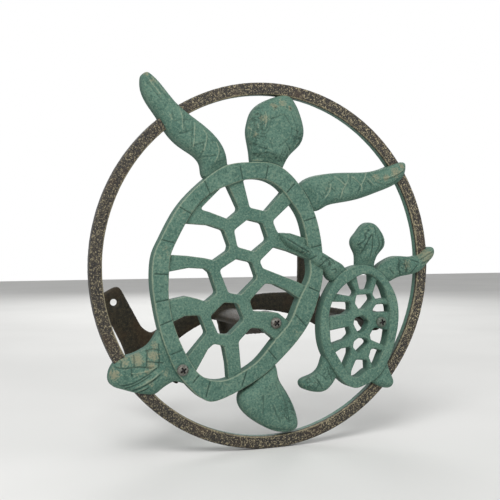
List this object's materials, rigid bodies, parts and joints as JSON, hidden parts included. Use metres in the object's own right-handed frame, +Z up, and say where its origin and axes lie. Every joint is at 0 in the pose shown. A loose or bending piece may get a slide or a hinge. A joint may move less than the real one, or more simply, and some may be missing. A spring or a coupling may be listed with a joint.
{
  "type": "wall hose hanger",
  "caption": "Wall-mounted hose hanger: a cast ring with a large and a small sea turtle, held off the wall by an armed bracket on which the hose coil hangs.",
  "frame": {"origin": "midpoint of the two wall screw holes, on the wall plane", "axes": "+Z up, +Y into the wall, +X to the right as seen from the front; the plate faces -Y"},
  "size_m": [0.3161, 0.1405, 0.3116],
  "materials": {
    "plate_metal": "antique bronze and verdigris paint on a hammered casting, satin",
    "bracket_metal": "dark bronze paint on a rough casting, satin",
    "screw_steel": "dull zinc-plated steel"
  },
  "bodies": {
    "root": {"front_plate": "plate_metal", "hose_saddle": "bracket_metal", "screw_lower_left": "screw_steel", "screw_middle": "screw_steel", "screw_right": "screw_steel"}
  },
  "joints": []
}
